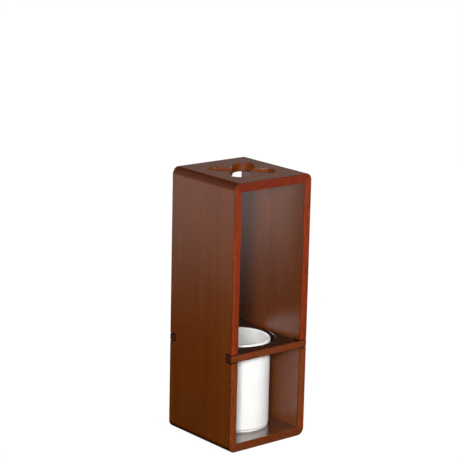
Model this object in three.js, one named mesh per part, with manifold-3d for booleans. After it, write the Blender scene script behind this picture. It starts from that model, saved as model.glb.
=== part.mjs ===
// A wooden vase: a tall frame of four mitred boards, open at the front and at the back.
// A shelf sits in notches of the two sides, and a loose glass cylinder stands on the bottom board
// and comes up through a round hole in the shelf. A cross cut through the top board leads down to it.
// Millimetres. X is the width, Y the depth with the front at -Y, and Z is up.
// The origin is the middle of the underside.

import * as THREE from "three";
import { mergeVertices } from "three/addons/utils/BufferGeometryUtils.js";
import Module from "manifold-3d";

const wasm = await Module();
wasm.setup();

// The glass cylinder, which the frame is sized around
const glassDiameter = 67;
const glassHeight = 93.5;
const glassWall = 2.8;
const glassBase = 4;
const glassFootRadius = 1;
const glassFloorRadius = 2.4;

// The four boards of the frame
const boardThickness = 9.3;
const cornerRadius = 7.6;
const upperOpeningHeight = 166.1;

// The shelf, with the least wood left beside, in front of and behind its hole
const shelfThickness = 7.5;
const shelfSideMargin = 2.7;
const shelfFrontMargin = 12.3;
const earLength = 9;

// The cross through the top board: from its middle to the end of an arm, and the width of an arm
const crossReach = 35;
const crossArmWidth = 22;

// The loose tongues glued into the mitres, which stop short of the front and the back
const tongueThickness = 2;
const tongueWidth = 8;
const tongueStop = 12;

// Clearances: glass to shelf hole, glass to bottom board, fitted wood, and the glue line of a mitre
const holeClearance = 4.2;
const seatClearance = 0.2;
const fitClearance = 0.3;
const glueLine = 0.3;

// How far a cutting body runs past the wood that it cuts, and how finely round stretches are divided
const cutOvershoot = 1;
const turnedSegments = 48;
const arcSegments = 12;
const profileDivisions = 3;

// Sizes that follow from the ones above
const glassRadius = glassDiameter / 2;
const holeRadius = glassRadius + holeClearance;
const shelfHalfWidth = holeRadius + shelfSideMargin;
const halfWidth = shelfHalfWidth + fitClearance + boardThickness;
const halfDepth = holeRadius + shelfFrontMargin;
const glassSeat = boardThickness + seatClearance;
const shelfTop = glassSeat + glassHeight;
const shelfUnderside = shelfTop - shelfThickness;
const height = shelfTop + upperOpeningHeight + boardThickness;
const tongueLength = 2 * (halfDepth - tongueStop);

// The middle of a mitre's face, as a distance in from both outer faces of the corner
const mitreLength = (boardThickness - cornerRadius) * Math.SQRT2 + cornerRadius;
const tongueInset = boardThickness - mitreLength / 2 / Math.SQRT2;

const stainedWood = { color: 0x6b3f26, roughness: 0.42, metalness: 0 };
const tongueWood = { color: 0xc8a878, roughness: 0.75, metalness: 0 };
const whiteGlass = { color: 0xf7f7f5, roughness: 0.12, metalness: 0 };

// Turns a closed three.js geometry into a solid that can be cut.
function solidOf(geometry) {
  const bare = geometry.clone();
  bare.deleteAttribute("normal");
  bare.deleteAttribute("uv");
  const merged = mergeVertices(bare);
  const vertProperties = merged.attributes.position.array;
  const triVerts = new Uint32Array(merged.index.array);
  return new wasm.Manifold(new wasm.Mesh({ numProp: 3, vertProperties, triVerts }));
}

// Turns a cut solid back into a three.js geometry.
function geometryOf(solid) {
  const { vertProperties, triVerts } = solid.getMesh();
  const geometry = new THREE.BufferGeometry();
  geometry.setAttribute("position", new THREE.BufferAttribute(vertProperties, 3));
  geometry.setIndex(new THREE.BufferAttribute(triVerts, 1));
  geometry.computeVertexNormals();
  return geometry;
}

// Cuts each of the cutting geometries out of a body.
function cut(body, cutters) {
  const left = cutters.reduce((rest, cutter) => rest.subtract(solidOf(cutter)), solidOf(body));
  return geometryOf(left);
}

function named(name, geometry, finish) {
  const mesh = new THREE.Mesh(geometry, new THREE.MeshStandardMaterial(finish));
  mesh.name = name;
  return mesh;
}

// The end view of a board of the frame. It lies along X with its outer face at 0 and its inner face
// at the board's thickness. Each end is a mitre, with half of the rounded corner outside it.
function boardEndView(halfLength) {
  const arcCentre = halfLength - cornerRadius;
  const glueAngle = Math.asin(glueLine / 2 / cornerRadius);
  const innerEnd = halfLength - boardThickness - glueLine / Math.SQRT2;
  const shape = new THREE.Shape();
  shape.moveTo(-arcCentre, 0);
  shape.lineTo(arcCentre, 0);
  shape.absarc(arcCentre, cornerRadius, cornerRadius, -Math.PI / 2, -Math.PI / 4 - glueAngle, false);
  shape.lineTo(innerEnd, boardThickness);
  shape.lineTo(-innerEnd, boardThickness);
  shape.absarc(-arcCentre, cornerRadius, cornerRadius, -0.75 * Math.PI + glueAngle, -Math.PI / 2, false);
  return shape;
}

// A tongue, or with a clearance the slot for it, across the mitre at one end of a lying board.
function tongueBody(clearance) {
  return new THREE.BoxGeometry(
    tongueWidth + 2 * clearance,
    tongueLength + 2 * clearance,
    tongueThickness + 2 * clearance,
  );
}

// A mitred board lying on its outer face, centred on the origin, with a slot in each mitre.
function mitredBoard(halfLength) {
  const board = new THREE.ExtrudeGeometry(boardEndView(halfLength), {
    depth: 2 * halfDepth,
    bevelEnabled: false,
    curveSegments: arcSegments,
  });
  board.rotateX(Math.PI / 2);
  board.translate(0, halfDepth, 0);
  const slots = [-1, 1].map((end) => {
    const slot = tongueBody(fitClearance);
    slot.rotateY((-end * Math.PI) / 4);
    slot.translate(end * (halfLength - tongueInset), 0, tongueInset);
    return slot;
  });
  return cut(board, slots);
}

// The cross, with its arms on the diagonals and round ends, as a body that cuts through a lying board.
function crossCutter() {
  const halfArm = crossArmWidth / 2;
  const endCentre = crossReach - halfArm;
  const cornerCentre = halfArm * Math.SQRT2;
  const shape = new THREE.Shape();
  for (let arm = 0; arm < 4; arm += 1) {
    const angle = ((2 * arm + 1) * Math.PI) / 4;
    const endX = endCentre * Math.cos(angle);
    const endY = endCentre * Math.sin(angle);
    shape.absarc(endX, endY, halfArm, angle - Math.PI / 2, angle + Math.PI / 2, false);
    const next = angle + Math.PI / 4;
    shape.lineTo(cornerCentre * Math.cos(next), cornerCentre * Math.sin(next));
  }
  const cutter = new THREE.ExtrudeGeometry(shape, {
    depth: boardThickness + 2 * cutOvershoot,
    bevelEnabled: false,
    curveSegments: arcSegments,
  });
  cutter.translate(0, 0, -cutOvershoot);
  return cutter;
}

// The bodies that cut the notches for the shelf's ears into a lying side board, front and back.
function notchCutters(shelfMiddle) {
  const reach = earLength + fitClearance + cutOvershoot;
  return [-1, 1].map((end) => {
    const notch = new THREE.BoxGeometry(
      shelfThickness + 2 * fitClearance,
      reach,
      boardThickness + 2 * cutOvershoot,
    );
    notch.translate(shelfMiddle, end * (halfDepth + cutOvershoot - reach / 2), boardThickness / 2);
    return notch;
  });
}

// The shelf from above: it fills the frame from side to side, and at its corners the ears run out
// through the sides to end flush with them.
function shelfGeometry() {
  const earEnd = halfDepth - earLength;
  const shape = new THREE.Shape();
  shape.moveTo(-halfWidth, -halfDepth);
  shape.lineTo(halfWidth, -halfDepth);
  shape.lineTo(halfWidth, -earEnd);
  shape.lineTo(shelfHalfWidth, -earEnd);
  shape.lineTo(shelfHalfWidth, earEnd);
  shape.lineTo(halfWidth, earEnd);
  shape.lineTo(halfWidth, halfDepth);
  shape.lineTo(-halfWidth, halfDepth);
  shape.lineTo(-halfWidth, earEnd);
  shape.lineTo(-shelfHalfWidth, earEnd);
  shape.lineTo(-shelfHalfWidth, -earEnd);
  shape.lineTo(-halfWidth, -earEnd);
  shape.closePath();
  const hole = new THREE.Path();
  hole.absarc(0, 0, holeRadius, 0, 2 * Math.PI, true);
  shape.holes.push(hole);
  return new THREE.ExtrudeGeometry(shape, {
    depth: shelfThickness,
    bevelEnabled: false,
    curveSegments: turnedSegments,
  });
}

// The glass as a turned body: a thick base with a rounded foot, a straight wall and a round rim.
function glassGeometry() {
  const rimRadius = glassWall / 2;
  const rimHeight = glassHeight - rimRadius;
  const innerRadius = glassRadius - glassWall;
  const footCentre = glassRadius - glassFootRadius;
  const floorCentre = innerRadius - glassFloorRadius;
  const floorHeight = glassBase + glassFloorRadius;
  const profile = new THREE.Path();
  profile.moveTo(0, 0);
  profile.lineTo(footCentre, 0);
  profile.absarc(footCentre, glassFootRadius, glassFootRadius, -Math.PI / 2, 0, false);
  profile.lineTo(glassRadius, rimHeight);
  profile.absarc(glassRadius - rimRadius, rimHeight, rimRadius, 0, Math.PI, false);
  profile.lineTo(innerRadius, floorHeight);
  profile.absarc(floorCentre, floorHeight, glassFloorRadius, 0, -Math.PI / 2, true);
  profile.lineTo(0, glassBase);
  const glass = new THREE.LatheGeometry(profile.getPoints(profileDivisions), turnedSegments);
  glass.rotateX(Math.PI / 2);
  return glass;
}

const vase = new THREE.Group();

const bottomBoard = named("bottom_board", mitredBoard(halfWidth), stainedWood);
vase.add(bottomBoard);

const topBoard = named("top_board", cut(mitredBoard(halfWidth), [crossCutter()]), stainedWood);
topBoard.position.z = height;
topBoard.rotation.y = Math.PI;
vase.add(topBoard);

// A standing side's own X runs down from the middle of the frame. The right side is the left one
// turned half round.
const shelfMiddle = height / 2 - (shelfTop + shelfUnderside) / 2;
const sideGeometry = cut(mitredBoard(height / 2), notchCutters(shelfMiddle));
for (const [name, turn] of [
  ["left_side", 0],
  ["right_side", Math.PI],
]) {
  const place = new THREE.Group();
  const side = named(name, sideGeometry, stainedWood);
  side.position.set(-halfWidth, 0, height / 2);
  side.rotation.y = Math.PI / 2;
  place.rotation.z = turn;
  place.add(side);
  vase.add(place);
}

const shelf = named("shelf", shelfGeometry(), stainedWood);
shelf.position.z = shelfUnderside;
vase.add(shelf);

for (const [level, rise, tongueHeight] of [
  ["bottom", 1, tongueInset],
  ["top", -1, height - tongueInset],
]) {
  for (const [side, across] of [
    ["left", -1],
    ["right", 1],
  ]) {
    const tongue = named(`tongue_${level}_${side}`, tongueBody(0), tongueWood);
    tongue.position.set(across * (halfWidth - tongueInset), 0, tongueHeight);
    tongue.rotation.y = (-rise * across * Math.PI) / 4;
    vase.add(tongue);
  }
}

const glass = named("glass_cylinder", glassGeometry(), whiteGlass);
glass.position.z = glassSeat;
vase.add(glass);

export default vase;
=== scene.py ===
"""Looks of a wooden vase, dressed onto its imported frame.

Four mitred boards of stained wood make a tall frame that is open at the front and at the back. A
shelf sits in notches of the two sides, and a loose white glass stands on the bottom board and comes
up through a round hole in the shelf. Everything is in metres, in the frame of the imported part:
X across, Y from the front to the back, Z up, with the origin in the middle of the underside.
"""

import logging
import math
from collections.abc import Callable, Sequence
from dataclasses import dataclass, replace
from enum import Enum
from functools import partial
from typing import Any

import bmesh
import bpy
from bpy.types import Material, MeshPolygon, Node, NodeSocket, NodeTree, Object, bpy_prop_collection
from mathutils import Matrix, Vector


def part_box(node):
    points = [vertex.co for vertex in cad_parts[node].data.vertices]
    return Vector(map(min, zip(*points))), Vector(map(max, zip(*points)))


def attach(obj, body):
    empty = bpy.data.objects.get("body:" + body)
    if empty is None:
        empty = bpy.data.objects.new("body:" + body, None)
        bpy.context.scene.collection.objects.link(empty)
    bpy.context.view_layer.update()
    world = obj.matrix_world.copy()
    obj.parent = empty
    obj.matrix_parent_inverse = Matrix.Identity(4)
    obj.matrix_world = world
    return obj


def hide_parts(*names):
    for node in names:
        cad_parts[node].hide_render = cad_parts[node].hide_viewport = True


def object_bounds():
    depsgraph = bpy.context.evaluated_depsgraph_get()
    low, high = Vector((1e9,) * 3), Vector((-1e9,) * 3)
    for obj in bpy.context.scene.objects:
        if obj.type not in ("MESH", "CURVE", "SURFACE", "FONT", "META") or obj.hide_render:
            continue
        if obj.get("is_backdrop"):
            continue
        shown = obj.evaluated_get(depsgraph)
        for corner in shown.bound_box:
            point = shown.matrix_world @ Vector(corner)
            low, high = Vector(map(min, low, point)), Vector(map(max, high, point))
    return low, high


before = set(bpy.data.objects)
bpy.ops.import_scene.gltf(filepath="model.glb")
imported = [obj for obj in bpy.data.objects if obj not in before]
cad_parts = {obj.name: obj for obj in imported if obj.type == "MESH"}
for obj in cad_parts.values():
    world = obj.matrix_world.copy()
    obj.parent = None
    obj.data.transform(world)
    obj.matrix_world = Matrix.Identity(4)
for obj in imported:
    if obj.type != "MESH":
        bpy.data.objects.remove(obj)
CAD_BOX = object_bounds()

MM = 0.001
TONGUE = "tongue_"
LOG = logging.getLogger("wooden_vase")

# The darker and the lighter colour of each stained surface. Each took the stain in its own way,
# and some are darker, some browner, as painted shade, as noted at each.
Tone = tuple[str, str]
FACE_TONE = ("#6A3107", "#7A3C0B")
# Painted shade: a little darker than the faces' tone, so that the top looks less lit. The bottom's outer
# faces share it.
TOP_SHADED_TONE = ("#632C06", "#72370A")
# Painted shade: the bottom board's inside, shut in between the sides, is much darker than the faces.
BOTTOM_SHADED_TONE = ("#3F1B09", "#4C240D")
# Painted shade: the shelf's faces, under the top and between the sides, are nearly black.
SHELF_SHADED_TONE = ("#200D08", "#281109")
SIDE_EDGE_TONE = ("#6F250D", "#913615")
# Painted shade: the sides' edges below the shelf are browner and less red than above it.
LOWER_EDGE_SHADED_TONE = ("#6F3313", "#87411A")
TOP_EDGE_TONE = ("#601D0A", "#7E2B11")
# Painted shade: the bottom rail's edge is darker and browner than the sides' edges.
BOTTOM_EDGE_SHADED_TONE = ("#5E2C12", "#743818")
SHELF_EDGE_TONE = ("#663015", "#783B19")
EAR_END_TONE = ("#481A0A", "#54200D")

# Edges that turn more than the first angle are eased, and shading breaks where one turns more than
# the second.
EASED_ANGLE = math.radians(40)
SHARP_ANGLE = math.radians(42)

# Steps round a full circle, at each corner of an arm of the cross, and at a corner of the glass.
CIRCLE_STEPS = 128
ARM_STEPS = 16
ROUNDING_STEPS = 10

# A hair under half a width, so that the two fillets of a round end don't meet in one point.
NEAR_HALF = 0.4995

# A function that adds a node to one tree, and the socket types of a tree's inputs.
Adder = Callable[..., Node]
FLOAT = "NodeSocketFloat"
VECTOR = "NodeSocketVector"


class Grain(Enum):
    """The axis that the grain of a board runs along."""

    ACROSS = 0
    DEEP = 1
    UPRIGHT = 2


class Place(Enum):
    """Where a board stands in the frame, by the word that its tongues' names hold."""

    LEFT = "left"
    RIGHT = "right"
    TOP = "top"
    BOTTOM = "bottom"


def linear(colour: str) -> tuple[float, float, float, float]:
    """Turns an sRGB hex colour into linear light.

    Args:
        colour: The colour as #RRGGBB.

    Returns:
        Red, green, blue and a full alpha.
    """
    channels = [int(colour[at : at + 2], 16) / 255 for at in (1, 3, 5)]
    light = [c / 12.92 if c <= 0.04045 else ((c + 0.055) / 1.055) ** 2.4 for c in channels]
    return (light[0], light[1], light[2], 1.0)


def add_node(
    tree: NodeTree, kind: str, inputs: dict[str | int, Any] | None = None, **settings: Any
) -> Node:
    """Adds a node with its settings, and fills or links its inputs.

    Args:
        tree: The node tree that the node goes into.
        kind: The node's type.
        inputs: For each input's name or number, a value, or the output that feeds it, or the node
            whose first output in use feeds it.
        settings: The node's own properties.

    Returns:
        The new node.
    """
    node = tree.nodes.new(kind)
    for name, value in settings.items():
        setattr(node, name, value)
    for key, value in (inputs or {}).items():
        if isinstance(value, Node):
            value = next(output for output in value.outputs if output.enabled)
        if isinstance(value, NodeSocket):
            tree.links.new(value, node.inputs[key])
        else:
            node.inputs[key].default_value = value
    return node


def new_material(name: str) -> tuple[Material, Adder]:
    """Starts an empty node material.

    Args:
        name: The material's name.

    Returns:
        The material, and add_node for its tree.
    """
    material = bpy.data.materials.new(name)
    material.use_nodes = True
    material.node_tree.nodes.clear()
    return material, partial(add_node, material.node_tree)


@dataclass(frozen=True)
class Mark:
    """The marks of one layer of a grain: their size in millimetres, and an offset of their own.

    The offset keeps one layer from following another, and the detail is how many finer layers are
    laid over the marks.
    """

    width: float
    length: float
    detail: float
    shift: float


@dataclass(frozen=True)
class Timber:
    """A fine, straight-grained hardwood, sanded smooth.

    Stained and sprayed with satin lacquer it shows soft darker streaks, fine fibres and short open
    pores along the grain, a stain that took a little unevenly and gathered along the arrises and on
    the end grain of round corners, a darkening in grooves that is partly stain and partly painted
    shade, and a soft reflection. Bare, it is pale, dull and flecked.
    """

    name: str
    grain: Grain
    tone: Tone
    pore: str
    arris: str
    # The colour in grooves: partly stain that soaked in, partly painted shade.
    soak: str
    roughness: float
    specular: float
    coat: float = 0.0
    coat_roughness: float = 0.2
    coat_ior: float = 1.5
    bands: Mark = Mark(width=11.0, length=260.0, detail=1.0, shift=3.1)
    lines: Mark = Mark(width=2.2, length=130.0, detail=2.0, shift=17.3)
    # Real fibres and pores are about 0.1 mm wide and are drawn wider, so that they show at all.
    fibres: Mark = Mark(width=0.8, length=20.0, detail=2.0, shift=41.7)
    pores: Mark = Mark(width=0.5, length=5.5, detail=0.0, shift=73.9)
    blotches: Mark = Mark(width=30.0, length=70.0, detail=1.0, shift=91.2)
    band_share: float = 0.6
    fibre_share: float = 0.3
    pore_depth: float = 0.4
    pore_start: float = 0.6
    pore_fade: float = 0.14
    pore_relief: float = -0.6
    stain_share: float = 0.85
    arris_roughness: float = 0.25
    uneven: float = 0.05

    def variant(self, name: str, grain: Grain, tone: Tone, **changes: float) -> Material:
        """Makes the material of a surface with its own grain and tone, and other changes."""
        return replace(self, name=name, grain=grain, tone=tone, **changes).material()

    def pattern(self, add: Adder, mark: Mark) -> Node:
        """Draws one layer of the grain, drawn out along the board.

        Args:
            add: Adds a node to the material.
            mark: The layer's marks.

        Returns:
            The node that gives the layer's value, about 0.5 on average.
        """
        place = add("ShaderNodeTexCoord").outputs["Object"]
        scale = [1 / (mark.width * MM)] * 3
        scale[self.grain.value] = 1 / (mark.length * MM)
        drawn = add("ShaderNodeMapping", {"Vector": place, "Location": [mark.shift] * 3, "Scale": scale})
        return add(
            "ShaderNodeTexNoise",
            {"Vector": drawn, "Scale": 1.0, "Detail": mark.detail, "Distortion": 0.15},
        )

    def material(self) -> Material:
        """Makes the material.

        Returns:
            The finished material.
        """
        material, add = new_material(self.name)
        layers = (self.bands, self.lines, self.fibres, self.pores, self.blotches)
        bands, lines, fibres, holes, blotches = (self.pattern(add, mark) for mark in layers)
        # The lines come and go over the board in groups.
        group = add(
            "ShaderNodeMapRange",
            {"Value": blotches, "From Min": 0.35, "From Max": 0.65, "To Min": 0.12, "To Max": 0.46},
        )
        figure = add("ShaderNodeMath", {0: bands, 1: self.band_share}, operation="MULTIPLY")
        for layer, share in ((lines, group), (fibres, self.fibre_share)):
            figure = add("ShaderNodeMath", {0: layer, 1: share, 2: figure}, operation="MULTIPLY_ADD")
        streaks = add("ShaderNodeMapRange", {"Value": figure, "From Min": 0.35, "From Max": 0.95})
        pore_end = self.pore_start + self.pore_fade
        pores = add(
            "ShaderNodeMapRange", {"Value": holes, "From Min": self.pore_start, "From Max": pore_end}
        )
        # The attribute stain is above 0 on arrises and round corners, and below 0 in grooves, where the
        # darker colour is partly stain and partly painted shade.
        stain = add("ShaderNodeAttribute", attribute_name="stain").outputs["Fac"]
        pored, gathered, soaked_and_shaded = (
            add("ShaderNodeMath", {0: layer, 1: share}, operation="MULTIPLY", use_clamp=True)
            for layer, share in (
                (pores, self.pore_depth),
                (stain, self.stain_share),
                (stain, -self.stain_share),
            )
        )
        dark, light = (linear(colour) for colour in self.tone)
        colour = add("ShaderNodeMix", {0: streaks, 6: dark, 7: light}, data_type="RGBA")
        for share, tint in ((pored, self.pore), (gathered, self.arris), (soaked_and_shaded, self.soak)):
            colour = add("ShaderNodeMix", {0: share, 6: colour, 7: linear(tint)}, data_type="RGBA")
        low, high = self.roughness - self.uneven, self.roughness + self.uneven
        roughness = add(
            "ShaderNodeMapRange",
            {"Value": fibres, "From Min": 0.3, "From Max": 0.7, "To Min": low, "To Max": high},
        )
        # Sanding and handling rub the arrises smooth.
        rubbing = self.arris_roughness - self.roughness
        rubbed = add("ShaderNodeMath", {0: gathered, 1: rubbing, 2: roughness}, operation="MULTIPLY_ADD")
        relief = add(
            "ShaderNodeMath", {0: pores, 1: self.pore_relief, 2: fibres}, operation="MULTIPLY_ADD"
        )
        bump = add("ShaderNodeBump", {"Strength": 0.15, "Distance": 0.015 * MM, "Height": relief})
        shader = add(
            "ShaderNodeBsdfPrincipled",
            {
                "Base Color": colour,
                "Roughness": rubbed,
                "Normal": bump,
                "IOR": 1.5,
                "Specular IOR Level": self.specular,
                "Coat Weight": self.coat,
                "Coat Roughness": self.coat_roughness,
                "Coat IOR": self.coat_ior,
            },
        )
        add("ShaderNodeOutputMaterial", {"Surface": shader})
        return material


# The faces of the boards: an even brown stain under satin lacquer.
STAINED_FACE = Timber(
    name="stained_wood_upright",
    grain=Grain.UPRIGHT,
    tone=FACE_TONE,
    pore="#44200B",
    arris="#451906",
    # Grooves: partly stain, partly painted shade.
    soak="#1E0D05",
    roughness=0.25,
    specular=0.5,
    coat_roughness=0.16,
    coat_ior=1.8,
)

# Their edges: redder and duller, with wider open pores and closer lines.
STAINED_EDGE = Timber(
    name="stained_edge_upright",
    grain=Grain.UPRIGHT,
    tone=SIDE_EDGE_TONE,
    pore="#401508",
    arris="#5B2710",
    # Grooves: partly stain, partly painted shade.
    soak="#1E0D05",
    roughness=0.42,
    specular=0.12,
    lines=Mark(width=1.2, length=130.0, detail=2.0, shift=17.3),
    pores=Mark(width=0.8, length=5.5, detail=0.0, shift=73.9),
    pore_depth=0.45,
    pore_start=0.5,
)

# The hidden tongues: pale sawn beech with no stain and no lacquer.
BARE_BEECH = Timber(
    name="bare_beech",
    grain=Grain.DEEP,
    tone=("#B8925F", "#D2B183"),
    pore="#8F6A3F",
    arris="#D8BC92",
    soak="#8F6A3F",
    roughness=0.75,
    specular=0.3,
)


@dataclass(frozen=True)
class OpalGlass:
    """White opal glass, pressed and fire-polished.

    It is milky right through, so light goes a little way into it and softens every shadow, and its
    smooth skin gives clear reflections with a slight waviness from the mould. Sizes and depths are
    in millimetres.
    """

    name: str = "opal_glass"
    milk: str = "#FAFAF8"
    cloud: str = "#F3F4F1"
    cloud_size: float = 14.0
    wave_size: float = 22.0
    wave_depth: float = 0.3
    roughness: float = 0.18
    uneven: float = 0.03
    specular: float = 0.35
    subsurface: float = 0.4
    depth: float = 2.0

    def material(self) -> Material:
        """Makes the material.

        Returns:
            The finished material.
        """
        material, add = new_material(self.name)
        place = add("ShaderNodeTexCoord").outputs["Object"]
        clouds, waves = (
            add("ShaderNodeTexNoise", {"Vector": place, "Scale": 1 / (size * MM), "Detail": detail})
            for size, detail in ((self.cloud_size, 3.0), (self.wave_size, 0.0))
        )
        colour = add(
            "ShaderNodeMix", {0: clouds, 6: linear(self.milk), 7: linear(self.cloud)}, data_type="RGBA"
        )
        low, high = self.roughness - self.uneven, self.roughness + self.uneven
        roughness = add(
            "ShaderNodeMapRange",
            {"Value": clouds, "From Min": 0.3, "From Max": 0.7, "To Min": low, "To Max": high},
        )
        bump = add("ShaderNodeBump", {"Strength": 0.1, "Distance": self.wave_depth * MM, "Height": waves})
        shader = add(
            "ShaderNodeBsdfPrincipled",
            {
                "Base Color": colour,
                "Roughness": roughness,
                "Normal": bump,
                "IOR": 1.5,
                "Specular IOR Level": self.specular,
                "Subsurface Weight": self.subsurface,
                "Subsurface Radius": (1.0, 0.97, 0.94),
                "Subsurface Scale": self.depth * MM,
            },
        )
        add("ShaderNodeOutputMaterial", {"Surface": shader})
        return material


@dataclass(frozen=True)
class PaperSweep:
    """Matt white studio paper: a plain, even ground that takes a soft shadow.

    The view sees it as white, by its glow. Under that it is grey, so that it throws little light back
    at the object. Reflections see none of the lamps' light on it, only a glow that comes up from near
    to far metres off and sinks from fading to gone metres off to the share rest.
    """

    name: str = "white_paper"
    colour: str = "#505050"
    mirrored_colour: str = "#000000"
    glow: float = 0.94
    near: float = 0.46
    far: float = 1.2
    fading: float = 1.6
    gone: float = 2.6
    rest: float = 0.25

    def material(self) -> Material:
        """Makes the material.

        Returns:
            The finished material.
        """
        material, add = new_material(self.name)
        rays = add("ShaderNodeLightPath").outputs
        place = add("ShaderNodeTexCoord").outputs["Object"]
        reach = add("ShaderNodeVectorMath", {0: place}, operation="LENGTH")
        beyond, fade = (
            add(
                "ShaderNodeMapRange",
                {"Value": reach, "From Min": start, "From Max": end, "To Min": first, "To Max": last},
                interpolation_type="SMOOTHSTEP",
            )
            for start, end, first, last in (
                (self.near, self.far, 0.0, 1.0),
                (self.fading, self.gone, 1.0, self.rest),
            )
        )
        mirrored = add(
            "ShaderNodeMath",
            {0: rays["Is Glossy Ray"], 1: rays["Is Transmission Ray"]},
            operation="MAXIMUM",
        )
        for part in (beyond, fade):
            mirrored = add("ShaderNodeMath", {0: mirrored, 1: part}, operation="MULTIPLY")
        seen = add("ShaderNodeMapRange", {"Value": beyond, "To Min": self.glow, "To Max": 1.0})
        glow = add(
            "ShaderNodeMath", {0: rays["Is Camera Ray"], 1: seen, 2: mirrored}, operation="MULTIPLY_ADD"
        )
        paper = add(
            "ShaderNodeMix",
            {0: rays["Is Glossy Ray"], 6: linear(self.colour), 7: linear(self.mirrored_colour)},
            data_type="RGBA",
        )
        shader = add(
            "ShaderNodeBsdfPrincipled",
            {
                "Base Color": paper,
                "Roughness": 0.9,
                "Specular IOR Level": 0.1,
                "Emission Color": (1.0, 1.0, 1.0, 1.0),
                "Emission Strength": glow,
            },
        )
        add("ShaderNodeOutputMaterial", {"Surface": shader})
        return material


def start_tree(name: str, sizes: dict[str, str]) -> tuple[NodeTree, Adder, bpy_prop_collection]:
    """Starts a Geometry Nodes tree with a named input for each of its sizes.

    Args:
        name: The tree's name.
        sizes: For each input's name, its socket type.

    Returns:
        The tree, add_node for it, and the outputs of its group input.
    """
    tree = bpy.data.node_groups.new(name, "GeometryNodeTree")
    sockets = {"Geometry": "NodeSocketGeometry", **sizes, "Finish": "NodeSocketMaterial"}
    for label, kind in sockets.items():
        tree.interface.new_socket(label, in_out="INPUT", socket_type=kind)
    tree.interface.new_socket("Geometry", in_out="OUTPUT", socket_type="NodeSocketGeometry")
    add = partial(add_node, tree)
    return tree, add, add("NodeGroupInput").outputs


def end_tree(add: Adder, shape: Node, finish: NodeSocket) -> None:
    """Ends a Geometry Nodes tree in a real mesh with its finish on.

    Args:
        add: Adds a node to the tree.
        shape: The node with the geometry that it made.
        finish: The input that carries the material.
    """
    real = add("GeometryNodeRealizeInstances", {"Geometry": shape})
    dressed = add("GeometryNodeSetMaterial", {"Geometry": real, "Material": finish})
    add("NodeGroupOutput", {"Geometry": dressed})


def cut_away(add: Adder, wood: NodeSocket, cutter: Node) -> Node:
    """Cuts one geometry out of another inside a tree.

    Args:
        add: Adds a node to the tree.
        wood: The geometry that is cut.
        cutter: The node with the geometry that cuts, which may be instances.

    Returns:
        The node with what is left.
    """
    bodies = {"Mesh 1": wood, "Mesh 2": cutter}
    return add("GeometryNodeMeshBoolean", bodies, operation="DIFFERENCE", solver="EXACT")


def paired_slots_tree() -> NodeTree:
    """Makes the tree that cuts a pair of slots into a board.

    Returns:
        The tree, with the size of a slot and the place and tilt of each as inputs.
    """
    places = dict.fromkeys(("Slot size", "First place", "Second place"), VECTOR)
    tilts = dict.fromkeys(("First tilt", "Second tilt"), FLOAT)
    tree, add, given = start_tree("paired_slots", places | tilts)
    points = add(
        "GeometryNodeMeshLine",
        {"Count": 2, "Start Location": given["First place"], "Offset": given["Second place"]},
        mode="END_POINTS",
    )
    index = add("GeometryNodeInputIndex")
    tilt = add(
        "ShaderNodeMix", {0: index, 2: given["First tilt"], 3: given["Second tilt"]}, data_type="FLOAT"
    )
    euler = add("ShaderNodeCombineXYZ", {"Y": tilt})
    turn = add("FunctionNodeEulerToRotation", {"Euler": euler})
    slot = add("GeometryNodeMeshCube", {"Size": given["Slot size"]})
    slots = add("GeometryNodeInstanceOnPoints", {"Points": points, "Instance": slot, "Rotation": turn})
    end_tree(add, cut_away(add, given["Geometry"], slots), given["Finish"])
    return tree


def cross_tree() -> NodeTree:
    """Makes the tree that cuts a cross with round ends, on the diagonals, through a board.

    Returns:
        The tree, with the cross's reach and arm width and the two levels that it cuts between.
    """
    sizes = dict.fromkeys(("Reach", "Arm width", "Lower level", "Upper level"), FLOAT)
    tree, add, given = start_tree("cross_cutout", sizes)
    length = add("ShaderNodeMath", {0: given["Reach"], 1: 2.0}, operation="MULTIPLY")
    bar = add("GeometryNodeCurvePrimitiveQuadrilateral", {"Width": length, "Height": given["Arm width"]})
    end_radius = add("ShaderNodeMath", {0: given["Arm width"], 1: NEAR_HALF}, operation="MULTIPLY")
    rounded = add(
        "GeometryNodeFilletCurve", {"Curve": bar, "Count": ARM_STEPS, "Radius": end_radius}, mode="POLY"
    )
    levels = (given["Lower level"], given["Upper level"])
    low, high = (add("ShaderNodeCombineXYZ", {"Z": level}) for level in levels)
    axis = add("GeometryNodeCurvePrimitiveLine", {"Start": low, "End": high})
    body = add("GeometryNodeCurveToMesh", {"Curve": axis, "Profile Curve": rounded, "Fill Caps": True})
    middle = add("GeometryNodeMeshLine", {"Count": 2, "Offset": (0.0, 0.0, 0.0)})
    index = add("GeometryNodeInputIndex")
    angle = add("ShaderNodeMath", {0: index, 1: math.pi / 2, 2: math.pi / 4}, operation="MULTIPLY_ADD")
    euler = add("ShaderNodeCombineXYZ", {"Z": angle})
    turn = add("FunctionNodeEulerToRotation", {"Euler": euler})
    arms = add("GeometryNodeInstanceOnPoints", {"Points": middle, "Instance": body, "Rotation": turn})
    end_tree(add, cut_away(add, given["Geometry"], arms), given["Finish"])
    return tree


def round_hole_tree() -> NodeTree:
    """Makes the tree that bores a round hole upright through a board.

    Returns:
        The tree, with the hole's radius, its depth and its middle level as inputs.
    """
    tree, add, given = start_tree("round_hole", dict.fromkeys(("Radius", "Depth", "Level"), FLOAT))
    bit = add(
        "GeometryNodeMeshCylinder",
        {"Vertices": CIRCLE_STEPS, "Radius": given["Radius"], "Depth": given["Depth"]},
    )
    middle = add("ShaderNodeCombineXYZ", {"Z": given["Level"]})
    placed = add("GeometryNodeTransform", {"Geometry": bit, "Translation": middle})
    end_tree(add, cut_away(add, given["Geometry"], placed), given["Finish"])
    return tree


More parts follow.
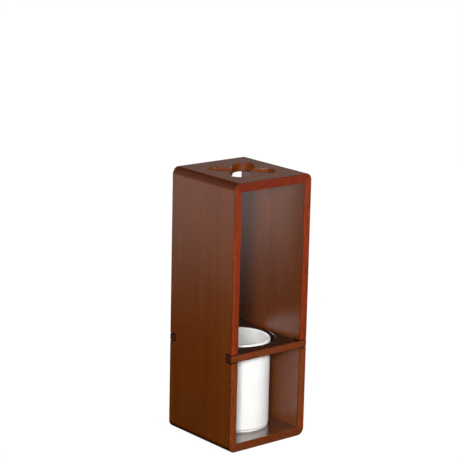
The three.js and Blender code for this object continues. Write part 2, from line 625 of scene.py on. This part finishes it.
def turned_tree(corners: int) -> NodeTree:
    """Makes the tree that turns a profile with rounded corners round the upright axis.

    Args:
        corners: How many corners the profile has, from the axis back to the axis.

    Returns:
        The tree, with the outer radius and the place and rounding of each corner as inputs.
    """
    sizes = {"Outer radius": FLOAT}
    for corner in range(corners):
        sizes[f"Corner {corner}"] = VECTOR
        sizes[f"Rounding {corner}"] = FLOAT
    tree, add, given = start_tree("turned_glass", sizes)
    index = add("GeometryNodeInputIndex").outputs[0]
    place = add("GeometryNodeIndexSwitch", data_type="VECTOR")
    rounding = add("GeometryNodeIndexSwitch", data_type="FLOAT")
    for switch, label in ((place, "Corner"), (rounding, "Rounding")):
        for _ in range(corners - len(switch.index_switch_items)):
            switch.index_switch_items.new()
        tree.links.new(index, switch.inputs["Index"])
        for corner in range(corners):
            tree.links.new(given[f"{label} {corner}"], switch.inputs[str(corner)])
    # A swept profile's Y points down, so the heights are turned over.
    upright = add("ShaderNodeVectorMath", {0: place, 1: (1.0, -1.0, 1.0)}, operation="MULTIPLY")
    line = add("GeometryNodeMeshLine", {"Count": corners})
    inward = add("ShaderNodeMath", {0: given["Outer radius"], 1: -1.0}, operation="MULTIPLY")
    offset = add("ShaderNodeCombineXYZ", {"X": inward})
    bent = add("GeometryNodeSetPosition", {"Geometry": line, "Position": upright, "Offset": offset})
    curve = add("GeometryNodeMeshToCurve", {"Mesh": bent})
    profile = add(
        "GeometryNodeFilletCurve",
        {"Curve": curve, "Count": ROUNDING_STEPS, "Radius": rounding},
        mode="POLY",
    )
    circle = add(
        "GeometryNodeCurvePrimitiveCircle", {"Resolution": CIRCLE_STEPS, "Radius": given["Outer radius"]}
    )
    wall = add("GeometryNodeCurveToMesh", {"Curve": circle, "Profile Curve": profile})
    closed = add("GeometryNodeMergeByDistance", {"Geometry": wall, "Distance": 0.002 * MM})
    end_tree(add, closed, given["Finish"])
    return tree


def settle(piece: Object) -> None:
    """Turns a piece with live modifiers into a plain mesh of the same shape.

    Args:
        piece: The piece to settle.
    """
    graph = bpy.context.evaluated_depsgraph_get()
    shaped = bpy.data.meshes.new_from_object(
        piece.evaluated_get(graph), preserve_all_data_layers=True, depsgraph=graph
    )
    piece.modifiers.clear()
    before = piece.data
    piece.data = shaped
    bpy.data.meshes.remove(before)


def run_tree(piece: Object, tree: NodeTree, values: dict[str, Any]) -> None:
    """Runs a Geometry Nodes tree on a piece and keeps the result as a plain mesh.

    Args:
        piece: The piece that the tree works on.
        tree: The tree.
        values: A value for each of the tree's named inputs.
    """
    modifier = piece.modifiers.new(tree.name, "NODES")
    modifier.node_group = tree
    for item in tree.interface.items_tree:
        if item.in_out == "INPUT" and item.name in values:
            modifier[item.identifier] = values[item.name]
    settle(piece)


def link_shape(name: str, shape: bmesh.types.BMesh) -> Object:
    """Turns a drawn shape into a mesh object of the scene.

    Args:
        name: The name of the object.
        shape: The shape, which is freed.

    Returns:
        The new object.
    """
    mesh = bpy.data.meshes.new(name)
    shape.to_mesh(mesh)
    shape.free()
    piece = bpy.data.objects.new(name, mesh)
    bpy.context.scene.collection.objects.link(piece)
    return piece


def prism(name: str, outline: Sequence[Sequence[float]], sweep: Sequence[float]) -> Object:
    """Makes a closed solid by moving a flat outline along a straight line.

    Args:
        name: The name of the piece.
        outline: The corners of the outline in order.
        sweep: How far and which way the outline moves.

    Returns:
        The new piece.
    """
    shape = bmesh.new()
    start = [shape.verts.new(point) for point in outline]
    end = [shape.verts.new(Vector(point) + Vector(sweep)) for point in outline]
    shape.faces.new(start)
    shape.faces.new(end)
    for at in range(len(start)):
        shape.faces.new((start[at - 1], start[at], end[at], end[at - 1]))
    bmesh.ops.recalc_face_normals(shape, faces=shape.faces)
    return link_shape(name, shape)


def point_outwards(piece: Object) -> None:
    """Merges a closed piece's doubled corners and turns all its faces outwards.

    Args:
        piece: The piece to put right.
    """
    shape = bmesh.new()
    shape.from_mesh(piece.data)
    bmesh.ops.remove_doubles(shape, verts=shape.verts, dist=0.001 * MM)
    bmesh.ops.recalc_face_normals(shape, faces=shape.faces)
    shape.to_mesh(piece.data)
    shape.free()


def ease_edges(
    piece: Object,
    width: float,
    stays_sharp: Callable[[Vector, Vector], bool],
    arris_stain: Callable[[Vector], float],
    face_stain: Callable[[Vector], float],
) -> None:
    """Rounds off a piece's outer edges, and marks its faces with the attribute stain.

    Args:
        piece: The piece to ease.
        width: How far the rounding reaches from the edge.
        stays_sharp: Says of an edge, by its two ends, whether it is left alone.
        arris_stain: Gives the stain of a rounded edge at a place, from -1 in a groove, where the
            dark is partly painted shade, to 1.
        face_stain: Gives the stain of any other face that looks a given way.
    """
    point_outwards(piece)
    shape = bmesh.new()
    shape.from_mesh(piece.data)
    stain = shape.faces.layers.float.new("stain")
    edges = [
        edge
        for edge in shape.edges
        if edge.is_convex
        and edge.calc_face_angle(0.0) > EASED_ANGLE
        and not stays_sharp(edge.verts[0].co, edge.verts[1].co)
    ]
    eased = bmesh.ops.bevel(
        shape,
        geom=edges,
        offset=width,
        offset_type="OFFSET",
        segments=3,
        profile=0.5,
        affect="EDGES",
        clamp_overlap=True,
        material=-1,
    )
    shape.normal_update()
    for face in shape.faces:
        face[stain] = face_stain(face.normal)
    for face in eased["faces"]:
        face[stain] = arris_stain(face.calc_center_median())
    shape.to_mesh(piece.data)
    shape.free()


def smooth(piece: Object) -> None:
    """Shades a piece smooth over its round edges while its flat faces stay flat.

    Args:
        piece: The piece to shade.
    """
    piece.data.shade_smooth()
    piece.data.set_sharp_from_angle(angle=SHARP_ANGLE)
    weighted = piece.modifiers.new("flat_faces", "WEIGHTED_NORMAL")
    weighted.keep_sharp = True
    settle(piece)


def finish_faces(
    piece: Object, finishes: Sequence[Material], finish_of: Callable[[MeshPolygon], int]
) -> None:
    """Gives each part of a board's surface its own finish.

    Args:
        piece: The board.
        finishes: The finishes that it has.
        finish_of: Says of a polygon which of them it takes, by its number.
    """
    piece.data.materials.clear()
    for finish in finishes:
        piece.data.materials.append(finish)
    for polygon in piece.data.polygons:
        polygon.material_index = finish_of(polygon)


def hand_over(piece: Object, node: str, body: str) -> None:
    """Puts a finished piece in the place of its CAD node.

    Args:
        piece: The piece.
        node: The CAD node that it stands for.
        body: The body that it moves with.
    """
    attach(piece, body)
    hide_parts(node)
    low, high = (Vector(corner) for corner in (piece.bound_box[0], piece.bound_box[6]))
    size = " x ".join(f"{length / MM:.1f}" for length in high - low)
    LOG.info("%s: %d faces, %s mm", piece.name, len(piece.data.polygons), size)


@dataclass
class MitredFrame:
    """The four boards, glued into a frame with mitred corners and hidden loose tongues."""

    width: float
    depth: float
    height: float
    board: float
    ear_low: float
    ear_high: float
    ear_length: float = 9.0 * MM
    corner_radius: float = 7.6 * MM
    seam: float = 0.12 * MM
    arris: float = 0.8 * MM
    arc_steps: int = 14
    corner_stain: float = 0.95
    corner_fade: float = math.radians(24)
    # Below 0 darkens the notches for the ears and their rims: partly stain, partly painted shade.
    rim_stain: float = -1.0
    notch_stain: float = -0.3
    cross_reach: float = 35.0 * MM
    cross_arm: float = 22.0 * MM
    tongue_width: float = 8.0 * MM
    tongue_thickness: float = 2.0 * MM
    play: float = 0.3 * MM
    # Limits of the tests that tell where an edge or a polygon is.
    slot_stop: float = 11.0 * MM
    mitre_reach: float = 0.5 * MM
    edge_turn: float = 0.8
    skin: float = 0.08 * MM

    @classmethod
    def measured(cls) -> "MitredFrame":
        """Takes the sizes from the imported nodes.

        Returns:
            The frame at its packed size.
        """
        low, high = CAD_BOX
        shelf_low, shelf_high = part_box("shelf")
        return cls(
            width=high[0] - low[0],
            depth=high[1] - low[1],
            height=high[2] - low[2],
            board=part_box("bottom_board")[1].z,
            ear_low=shelf_low.z,
            ear_high=shelf_high.z,
        )

    def end_view(self, half_length: float) -> list[tuple[float, float]]:
        """Draws the end view of a lying board, with a mitre and half a round corner at each end.

        Args:
            half_length: Half the length of the board over its round corners.

        Returns:
            Points along the board and up from its outer face.
        """
        centre = half_length - self.corner_radius
        hair = math.asin(self.seam / 2 / self.corner_radius)
        inner = half_length - self.board - self.seam / math.sqrt(2)
        arc = []
        for step in range(self.arc_steps + 1):
            angle = (math.pi / 4 - hair) * step / self.arc_steps
            along = centre + self.corner_radius * math.sin(angle)
            arc.append((along, self.corner_radius * (1 - math.cos(angle))))
        right = [*arc, (inner, self.board)]
        return right + [(-along, up) for along, up in reversed(right)]

    def stand(self, place: Place, along: float, up: float) -> tuple[float, float]:
        """Finds where a point of a lying board's end view is in the standing frame.

        Args:
            place: The board.
            along: The point's distance along the board from its middle.
            up: Its distance in from the outer face.

        Returns:
            X and Z.
        """
        if place is Place.BOTTOM:
            return along, up
        if place is Place.TOP:
            return along, self.height - up
        side = -1 if place is Place.LEFT else 1
        return side * (self.width / 2 - up), self.height / 2 + along

    def insets(self, point: Vector) -> tuple[float, float]:
        """Measures how far a point is in from the nearer side, and from the top or the bottom."""
        return self.width / 2 - abs(point.x), min(point.z, self.height - point.z)

    def in_mitre(self, start: Vector, end: Vector) -> bool:
        """Tells whether an edge lies in the plane of a mitre, where the boards are glued."""
        gaps = [abs(across - upright) for across, upright in map(self.insets, (start, end))]
        return max(gaps) < self.mitre_reach

    def in_slot(self, start: Vector, end: Vector) -> bool:
        """Tells whether an edge is inside a slot for a tongue."""
        middle = (start + end) / 2
        return abs(middle.y) <= self.depth / 2 - self.slot_stop and max(self.insets(middle)) < self.board

    def face_stain(self, normal: Vector) -> float:
        """Gives the stain of a face: above 0 where a round corner bares end grain."""
        turned = min(abs(normal.x), abs(normal.z))
        return self.corner_stain * min(1.0, turned / math.sin(self.corner_fade))

    def arris_stain(self, spot: Vector) -> float:
        """Gives the stain of an eased edge.

        Args:
            spot: A place on the edge.

        Returns:
            1, or below 0 in a notch for the shelf's ears and lowest on the notch's rim, where the darker
            colour is partly stain and partly painted shade.
        """
        reach = 2 * self.arris
        if not self.ear_low - reach < spot.z < self.ear_high + reach:
            return 1.0
        rim = min(abs(spot.z - self.ear_low), abs(spot.z - self.ear_high))
        return self.rim_stain if rim < reach else self.notch_stain

    def board_piece(self, place: Place, name: str, finishes: Sequence[Material]) -> Object:
        """Makes one board with its slots, cutouts, eased edges and finishes.

        Args:
            place: Which board it is.
            name: The name of the piece.
            finishes: The finishes in the order of finish_of.

        Returns:
            The finished piece.
        """
        face = finishes[0]
        lying = place in (Place.TOP, Place.BOTTOM)
        half_length = self.width / 2 if lying else self.height / 2
        points = [self.stand(place, *point) for point in self.end_view(half_length)]
        outline = [(x, -self.depth / 2, z) for x, z in points]
        piece = prism(name, outline, (0.0, self.depth, 0.0))
        self.cut_slots(piece, place, face)
        if place is Place.TOP:
            arms = {"Reach": self.cross_reach, "Arm width": self.cross_arm, "Finish": face}
            low, high = self.height - 2 * self.board, self.height + self.board
            run_tree(piece, cross_tree(), arms | {"Lower level": low, "Upper level": high})
        elif not lying:
            self.cut_notches(piece, place, face)
        ease_edges(
            piece,
            self.arris,
            lambda a, b: self.in_mitre(a, b) or self.in_slot(a, b),
            self.arris_stain,
            self.face_stain,
        )
        smooth(piece)
        finish_faces(piece, finishes, lambda polygon: self.finish_of(place, polygon))
        return piece

    def finish_of(self, place: Place, polygon: MeshPolygon) -> int:
        """Picks a polygon's finish.

        Args:
            place: Which board it is on.
            polygon: The polygon.

        Returns:
            0 for an outer face, 1 for the front and back edge, 2 for the inside, and 3 for the edge
            of a side below the shelf, which is browner for painted shade.
        """
        inset = self.depth / 2 - abs(polygon.center.y)
        if abs(polygon.normal.y) > self.edge_turn and inset < self.arris:
            below = place in (Place.LEFT, Place.RIGHT) and polygon.center.z < self.ear_low
            return 3 if below else 1
        return 2 if min(self.insets(polygon.center)) > self.board - self.skin else 0

    def cut_slots(self, piece: Object, place: Place, face: Material) -> None:
        """Cuts the slots for the loose tongues into a board's two mitres.

        Args:
            piece: The board.
            place: Which board it is.
            face: The board's finish.
        """
        tongues = [node for node in sorted(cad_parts) if node.startswith(TONGUE)]
        values: dict[str, Any] = {"Finish": face}
        for order, node in zip(("First", "Second"), (node for node in tongues if place.value in node)):
            low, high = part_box(node)
            middle = (low + high) / 2
            rise = 1 if middle.z < self.height / 2 else -1
            across = 1 if middle.x > 0 else -1
            values[f"{order} place"] = tuple(middle)
            values[f"{order} tilt"] = -rise * across * math.pi / 4
            sides = (self.tongue_width, high.y - low.y, self.tongue_thickness)
            values["Slot size"] = tuple(side + 2 * self.play for side in sides)
        run_tree(piece, paired_slots_tree(), values)

    def cut_notches(self, piece: Object, place: Place, face: Material) -> None:
        """Cuts the notches for the shelf's ears into the front and the back of a side.

        Args:
            piece: The side board.
            place: Which side it is.
            face: The board's finish.
        """
        side = -1 if place is Place.LEFT else 1
        across = side * (self.width / 2 - self.board / 2)
        level = (self.ear_low + self.ear_high) / 2
        ear = self.ear_high - self.ear_low
        size = (2 * self.board, 2 * (self.ear_length + self.play), ear + 2 * self.play)
        front, back = ((across, end * self.depth / 2, level) for end in (-1, 1))
        values = {"Slot size": size, "First place": front, "Second place": back, "Finish": face}
        run_tree(piece, paired_slots_tree(), values)

    def build(self) -> None:
        """Makes the four boards and puts them in the place of their nodes."""
        face, edge = STAINED_FACE.variant, STAINED_EDGE.variant
        upright, upright_edge = STAINED_FACE.material(), STAINED_EDGE.material()
        inside = face("polished_wood_upright", Grain.UPRIGHT, FACE_TONE, coat=0.5, coat_roughness=0.27)
        # The sides' edges below the shelf take a browner tone as painted shade.
        lower_edge_shaded = edge("stained_edge_lower_painted_shade", Grain.UPRIGHT, LOWER_EDGE_SHADED_TONE)
        # The top's faces take a slightly darker tone as painted shade.
        across = face("stained_wood_across_painted_shade", Grain.ACROSS, TOP_SHADED_TONE)
        # The bottom's inside takes a much darker tone as painted shade.
        polished_shaded = face("polished_wood_across_painted_shade", Grain.ACROSS, BOTTOM_SHADED_TONE, coat=1.0)
        top_edge = edge("stained_edge_top", Grain.ACROSS, TOP_EDGE_TONE)
        # The bottom rail's edge takes a darker tone as painted shade.
        bottom_edge_shaded = edge("stained_edge_bottom_painted_shade", Grain.ACROSS, BOTTOM_EDGE_SHADED_TONE)
        sides = (upright, upright_edge, inside, lower_edge_shaded)
        for place, name, node, finishes in (
            (Place.LEFT, "left_side_board", "left_side", sides),
            (Place.RIGHT, "right_side_board", "right_side", sides),
            (Place.TOP, "top_panel", "top_board", (across, top_edge, across)),
            (Place.BOTTOM, "bottom_panel", "bottom_board", (across, bottom_edge_shaded, polished_shaded)),
        ):
            piece = self.board_piece(place, name, finishes)
            hand_over(piece, node, "frame")

    def dress_tongues(self) -> None:
        """Gives the hidden loose tongues the look of bare wood."""
        beech = BARE_BEECH.material()
        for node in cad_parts:
            if node.startswith(TONGUE):
                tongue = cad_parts[node]
                tongue.data.materials.clear()
                tongue.data.materials.append(beech)
                LOG.info("%s: bare beech", node)


@dataclass
class Shelf:
    """The shelf, which steadies the glass and runs out through the sides in an ear at each corner."""

    low: Vector
    high: Vector
    ear_length: float = 9.0 * MM
    body_half: float = 40.4 * MM
    hole_radius: float = 37.7 * MM
    arris: float = 0.7 * MM
    bit_ratio: float = 3.0
    end_turn: float = 0.7
    face_turn: float = 0.8

    @classmethod
    def measured(cls) -> "Shelf":
        """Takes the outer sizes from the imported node."""
        low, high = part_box("shelf")
        return cls(low=low, high=high)

    def build(self) -> None:
        """Makes the shelf and puts it in the place of its node."""
        # The shelf's nearly black faces are painted shade.
        face = STAINED_FACE.variant("stained_wood_shelf_painted_shade", Grain.ACROSS, SHELF_SHADED_TONE, specular=0.38)
        edge = STAINED_EDGE.variant("stained_edge_shelf", Grain.ACROSS, SHELF_EDGE_TONE)
        end = STAINED_EDGE.variant("stained_end_grain", Grain.ACROSS, EAR_END_TONE)
        ear = self.high.y - self.ear_length
        quarter = [(self.body_half, ear), (self.high.x, ear), (self.high.x, self.high.y)]
        right = [(x, -y) for x, y in reversed(quarter)] + quarter
        plan = right + [(-x, y) for x, y in reversed(right)]
        outline = [(x, y, self.low.z) for x, y in plan]
        thickness = self.high.z - self.low.z
        piece = prism("shelf_panel", outline, (0.0, 0.0, thickness))
        bit = {"Radius": self.hole_radius, "Depth": self.bit_ratio * thickness}
        level = (self.high.z + self.low.z) / 2
        run_tree(piece, round_hole_tree(), bit | {"Level": level, "Finish": face})
        ease_edges(piece, self.arris, lambda a, b: False, self.arris_stain, lambda normal: 0.0)
        smooth(piece)
        finish_faces(piece, (face, edge, end), self.finish_of)
        hand_over(piece, "shelf", "frame")

    def arris_stain(self, spot: Vector) -> float:
        """Gives the stain of an eased edge.

        Args:
            spot: A place on the edge.

        Returns:
            1 on the body, and on an ear -1 next to the wood of a side, or else 0. The -1 darkens the
            joint, partly with stain and partly with painted shade.
        """
        if abs(spot.x) < self.body_half:
            return 1.0
        above = min(spot.z - self.low.z, self.high.z - spot.z)
        return -1.0 if above < self.arris else 0.0

    def finish_of(self, polygon: MeshPolygon) -> int:
        """Picks a polygon's finish.

        Args:
            polygon: The polygon.

        Returns:
            0 for a face, 1 for the front and back edge, and 2 for an ear's end.
        """
        if abs(polygon.normal.x) > self.end_turn and self.high.x - abs(polygon.center.x) < self.arris:
            return 2
        inset = self.high.y - abs(polygon.center.y)
        return 1 if abs(polygon.normal.z) < self.face_turn and inset < self.arris else 0


@dataclass
class Glass:
    """The loose glass cylinder: a round rim, a straight wall, and a groove above a flat foot."""

    radius: float
    seat: float
    rim: float
    wall: float = 2.8 * MM
    base: float = 4.0 * MM
    floor_radius: float = 2.4 * MM
    foot_height: float = 0.8 * MM
    foot_inset: float = 0.8 * MM
    foot_easing: float = 0.25 * MM
    groove_height: float = 0.3 * MM
    groove_depth: float = 3.6 * MM
    shoulder: float = 3.0 * MM
    rim_share: float = 0.49

    @classmethod
    def measured(cls) -> "Glass":
        """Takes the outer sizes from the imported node."""
        low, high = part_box("glass_cylinder")
        return cls(radius=(high.x - low.x) / 2, seat=low.z, rim=high.z)

    def profile(self) -> list[tuple[float, float, float]]:
        """Draws half of the glass's section.

        Returns:
            Its corners from the axis back to the axis: distance out, height and rounding.
        """
        inner = self.radius - self.wall
        foot = self.radius - self.foot_inset
        foot_top = self.seat + self.foot_height
        underside = foot_top + self.groove_height
        rim_rounding = self.rim_share * self.wall
        return [
            (0.0, self.seat, 0.0),
            (foot, self.seat, self.foot_easing),
            (foot, foot_top, self.foot_easing),
            (self.radius - self.groove_depth, foot_top, 0.0),
            (self.radius - self.groove_depth, underside, 0.0),
            (self.radius, underside, self.shoulder),
            (self.radius, self.rim, rim_rounding),
            (inner, self.rim, rim_rounding),
            (inner, self.seat + self.base, self.floor_radius),
            (0.0, self.seat + self.base, 0.0),
        ]

    def build(self) -> None:
        """Makes the glass and puts it in the place of its node."""
        corners = self.profile()
        values: dict[str, Any] = {"Outer radius": self.radius, "Finish": OpalGlass().material()}
        for at, (out, up, rounding) in enumerate(corners):
            values[f"Corner {at}"] = (out, up, 0.0)
            values[f"Rounding {at}"] = rounding
        piece = link_shape("glass_vessel", bmesh.new())
        run_tree(piece, turned_tree(len(corners)), values)
        point_outwards(piece)
        piece.data.shade_smooth()
        piece.data.set_sharp_from_angle(angle=SHARP_ANGLE)
        hand_over(piece, "glass_cylinder", "glass")


@dataclass(frozen=True)
class Lamp:
    """A square soft box that looks at the object, with a grid where its spread is under 180."""

    name: str
    azimuth: float
    height: float
    distance: float
    size: float
    watts: float
    aim: float = 0.14
    spread: float = 180.0

    def place(self) -> None:
        """Hangs the lamp in the scene."""
        turn = math.radians(self.azimuth)
        spot = Vector((math.sin(turn) * self.distance, -math.cos(turn) * self.distance, self.height))
        light = bpy.data.lights.new(self.name, "AREA")
        light.shape = "SQUARE"
        light.size = self.size
        light.energy = self.watts
        light.spread = math.radians(self.spread)
        lamp = bpy.data.objects.new(self.name, light)
        lamp.location = spot
        lamp.rotation_euler = (spot - Vector((0.0, 0.0, self.aim))).to_track_quat("Z", "Y").to_euler()
        bpy.context.scene.collection.objects.link(lamp)
        LOG.info("lamp %s: %.1f W", self.name, self.watts)


# Metres, degrees round from the front, and watts.
LAMPS = (
    Lamp("front", azimuth=4.0, height=0.69, distance=1.18, size=0.3, watts=7.9),
    Lamp("front_low", azimuth=-8.0, height=0.26, distance=1.3, size=0.3, watts=0.41, aim=0.04, spread=70),
    Lamp("left", azimuth=-46.0, height=0.52, distance=1.24, size=0.2, watts=2.8, aim=0.28, spread=90),
    Lamp("left_top", azimuth=-90.0, height=1.2, distance=0.75, size=0.3, watts=3.2),
    Lamp("glint", azimuth=-45.0, height=1.27, distance=0.65, size=0.1, watts=1.5),
    Lamp("right_fill", azimuth=75.0, height=0.55, distance=1.23, size=0.6, watts=8.0),
    Lamp("back_fill", azimuth=182.0, height=0.5, distance=1.25, size=0.6, watts=7.0),
)


@dataclass
class Studio:
    """A white paper sweep, soft lamps and the camera at the photograph's viewing angle."""

    inner_radius: float = 1.0
    floor_radius: float = 4.2
    rim_radius: float = 1.0
    rim_height: float = 2.0
    rim_steps: int = 12
    round_steps: int = 96
    floor_level: float = -0.1 * MM
    room_light: float = 0.006
    focal_length: float = 142.96
    sensor_width: float = 36.0
    azimuth: float = -39.467
    elevation: float = 13.779
    roll: float = 1.284
    aim: tuple[float, float, float] = (0.454304, 0.570301, 0.03768)
    distance: float = 2.60039

    def build(self) -> None:
        """Sets up the ground, the light and the camera."""
        self.lay_floor()
        self.light()
        self.set_camera()

    def lay_floor(self) -> None:
        """Lays a round floor that turns up at its rim like a paper sweep."""
        profile = [(0.0, 0.0), (self.inner_radius, 0.0), (self.floor_radius, 0.0)]
        for step in range(1, self.rim_steps + 1):
            angle = math.pi / 2 * step / self.rim_steps
            out = self.floor_radius + self.rim_radius * math.sin(angle)
            profile.append((out, self.rim_height * (1 - math.cos(angle))))
        shape = bmesh.new()
        verts = [shape.verts.new((out, 0.0, up + self.floor_level)) for out, up in profile]
        edges = [shape.edges.new(pair) for pair in zip(verts, verts[1:])]
        turn = {"axis": (0.0, 0.0, 1.0), "angle": 2 * math.pi, "steps": self.round_steps}
        bmesh.ops.spin(shape, geom=verts + edges, use_merge=True, **turn)
        bmesh.ops.remove_doubles(shape, verts=shape.verts, dist=0.01 * MM)
        bmesh.ops.recalc_face_normals(shape, faces=shape.faces)
        for face in shape.faces:
            face.smooth = True
        floor = link_shape("paper_sweep", shape)
        floor.data.flip_normals()
        floor.data.materials.append(PaperSweep().material())
        floor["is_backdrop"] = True

    def light(self) -> None:
        """Hangs the lamps and sets the dim light of the room."""
        for lamp in LAMPS:
            lamp.place()
        world = bpy.data.worlds.new("studio")
        world.use_nodes = True
        tree = world.node_tree
        tree.nodes.clear()
        white = (1.0, 1.0, 1.0, 1.0)
        room = add_node(tree, "ShaderNodeBackground", {"Color": white, "Strength": self.room_light})
        add_node(tree, "ShaderNodeOutputWorld", {"Surface": room})
        bpy.context.scene.world = world

    def set_camera(self) -> None:
        """Puts the camera where the photograph was taken from."""
        turn = math.radians(self.azimuth)
        rise = math.radians(self.elevation)
        roll = math.radians(self.roll)
        ahead = math.cos(rise)
        back = Vector((math.sin(turn) * ahead, -math.cos(turn) * ahead, math.sin(rise)))
        level = Vector((math.cos(turn), math.sin(turn), 0.0))
        up = back.cross(level)
        right = math.cos(roll) * level + math.sin(roll) * up
        upright = -math.sin(roll) * level + math.cos(roll) * up
        axes = Matrix((right, upright, back)).transposed()
        data = bpy.data.cameras.new("camera")
        data.sensor_width = self.sensor_width
        data.lens = self.focal_length
        camera = bpy.data.objects.new("camera", data)
        stand = Matrix.Translation(Vector(self.aim) + back * self.distance)
        camera.matrix_world = stand @ axes.to_4x4()
        bpy.context.scene.collection.objects.link(camera)
        bpy.context.scene.camera = camera


def write_sizes() -> None:
    """Puts the CAD box and the box of the dressed part into plain lists, which nothing uses."""
    boxes = {"cad": CAD_BOX, "visual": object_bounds()}
    plain = {name: [list(corner) for corner in box] for name, box in boxes.items()}


def main() -> None:
    """Builds the studio and every piece in order."""
    logging.basicConfig(level=logging.INFO, format="%(message)s")
    bpy.context.scene.view_settings.view_transform = "Standard"
    Studio().build()
    boards = MitredFrame.measured()
    boards.build()
    boards.dress_tongues()
    Shelf.measured().build()
    Glass.measured().build()
    write_sizes()


if __name__ == "__main__":
    main()
